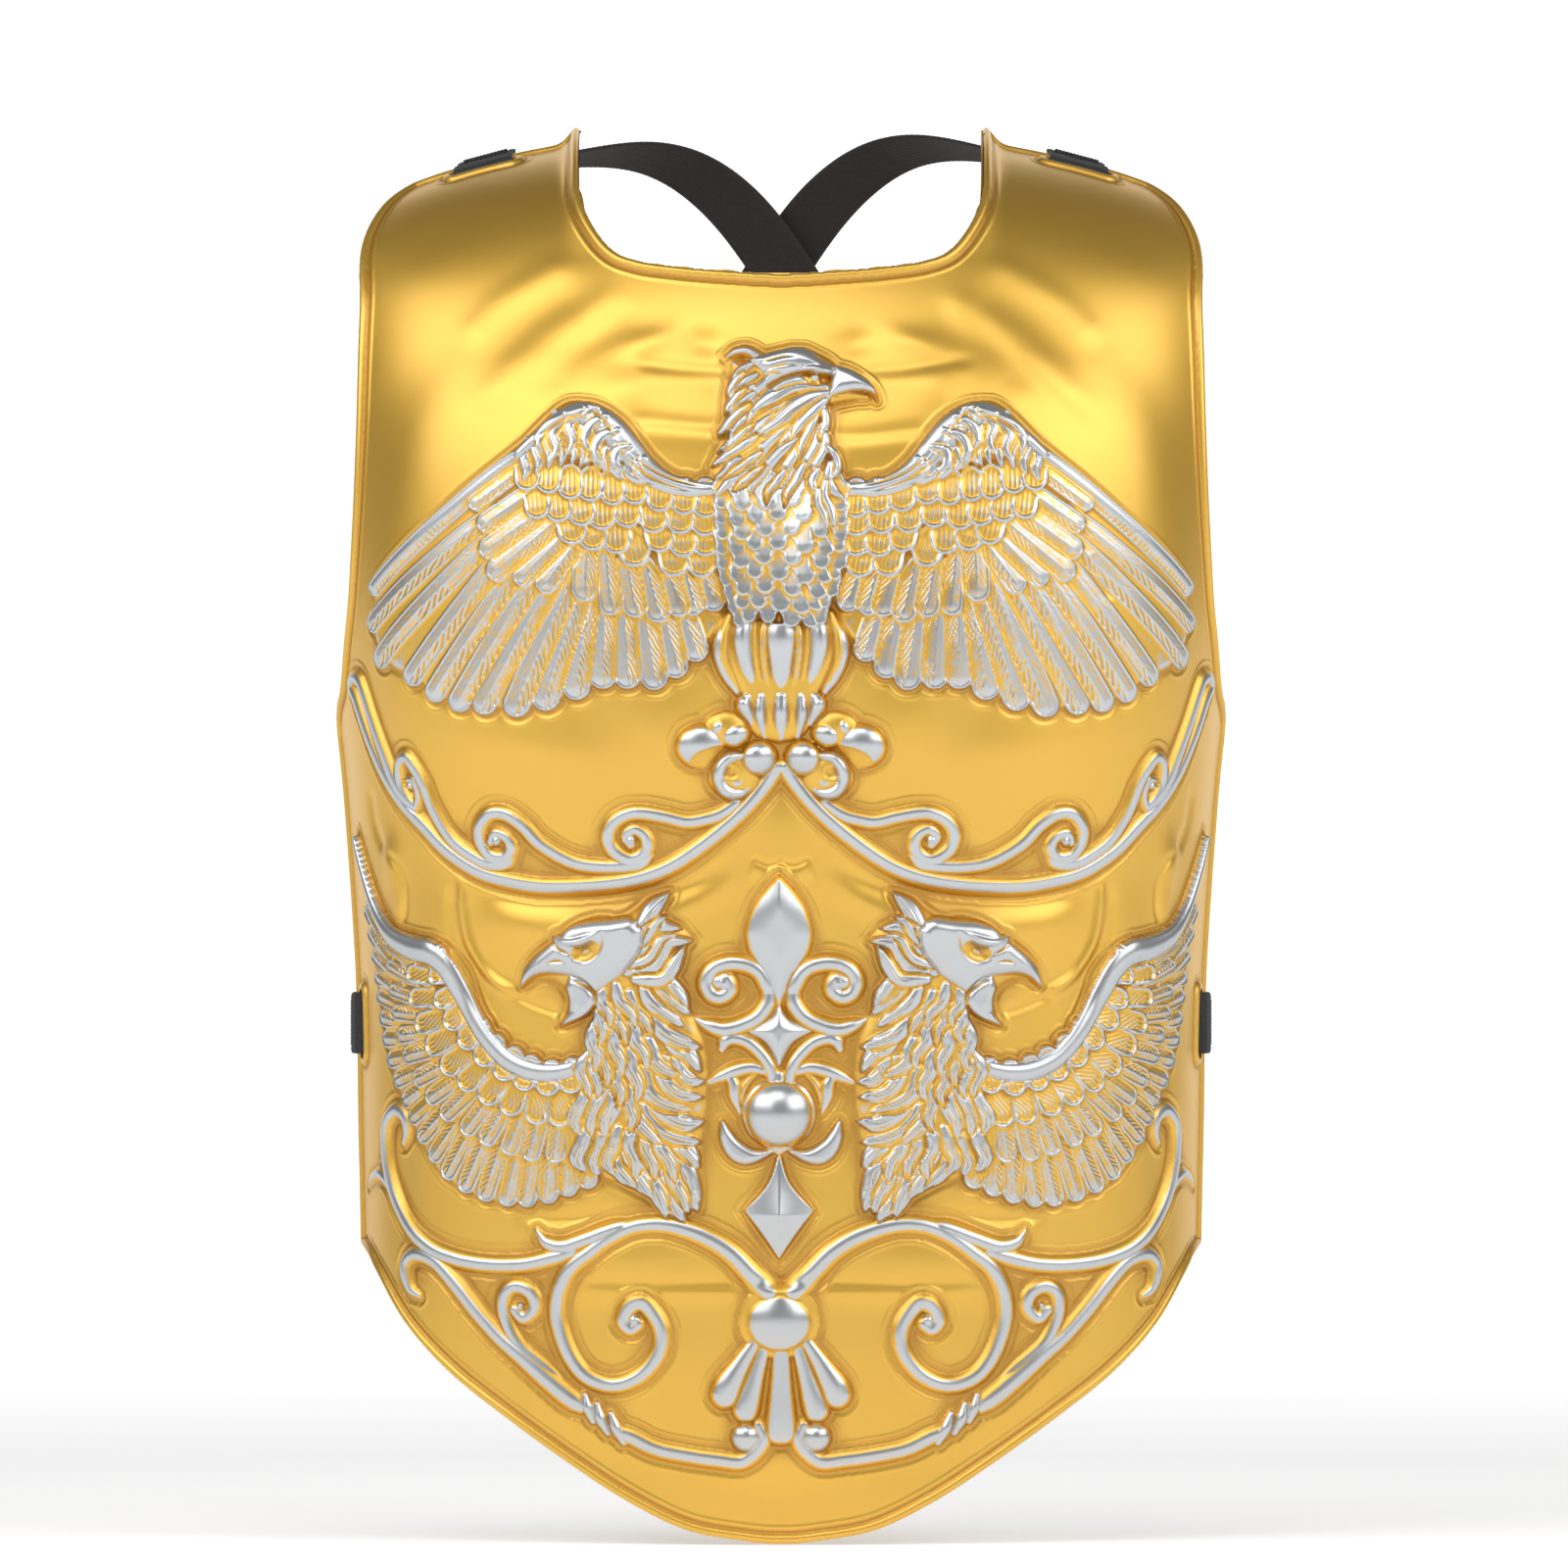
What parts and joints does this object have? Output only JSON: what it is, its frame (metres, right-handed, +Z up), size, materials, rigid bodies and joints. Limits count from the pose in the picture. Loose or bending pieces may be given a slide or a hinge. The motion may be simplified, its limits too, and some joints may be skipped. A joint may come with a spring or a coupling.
{
  "type": "costume breastplate",
  "caption": "Muscle-shaped costume breastplate in gold plastic with a raised silvered eagle, griffins and scrollwork, and crossed black elastic straps behind.",
  "frame": {"origin": "midway between the two shoulder seats, on the centre plane, level with the tops of the armholes", "axes": "+Z up along the wearer's height, -Y the way the wearer faces, +X to the right of someone who looks at the front"},
  "size_m": [0.3654, 0.2439, 0.5767],
  "materials": {
    "gold_sheet": "metallic gold spray on formed plastic, satin",
    "silver_relief": "silver rubbed over gold on raised work, satin",
    "black_elastic": "woven elastic, matt",
    "black_thread": "sewing thread, matt"
  },
  "bodies": {
    "root": {"ball_boss": "silver_relief", "belly_scroll_left": "silver_relief", "belly_scroll_right": "silver_relief", "chest_scroll_left": "silver_relief", "chest_scroll_right": "silver_relief", "crescent_left": "silver_relief", "crescent_right": "silver_relief", "eagle_body": "silver_relief", "eagle_head": "silver_relief", "eagle_tail": "silver_relief", "fleur_petal": "silver_relief", "fleur_scroll_left": "silver_relief", "fleur_scroll_right": "silver_relief", "front_shell": "gold_sheet", "griffin_coverts_left": "silver_relief", "griffin_coverts_right": "silver_relief", "griffin_head_left": "silver_relief", "griffin_head_right": "silver_relief", "griffin_mane_left": "silver_relief", "griffin_mane_right": "silver_relief", "griffin_wing_left": "silver_relief", "griffin_wing_right": "silver_relief", "hem_scroll_left": "silver_relief", "hem_scroll_right": "silver_relief", "kite": "silver_relief", "palmette": "silver_relief", "shoulder_tack_left": "black_thread", "shoulder_tack_right": "black_thread", "side_branch_left": "silver_relief", "side_branch_right": "silver_relief", "side_tack_left": "black_thread", "side_tack_right": "black_thread", "star": "silver_relief", "star_arm_left": "silver_relief", "star_arm_right": "silver_relief", "strap_from_left": "black_elastic", "strap_from_right": "black_elastic", "tail_rosette_left": "silver_relief", "tail_rosette_right": "silver_relief", "wing_coverts_left": "silver_relief", "wing_coverts_right": "silver_relief", "wing_left": "silver_relief", "wing_right": "silver_relief"}
  },
  "joints": []
}
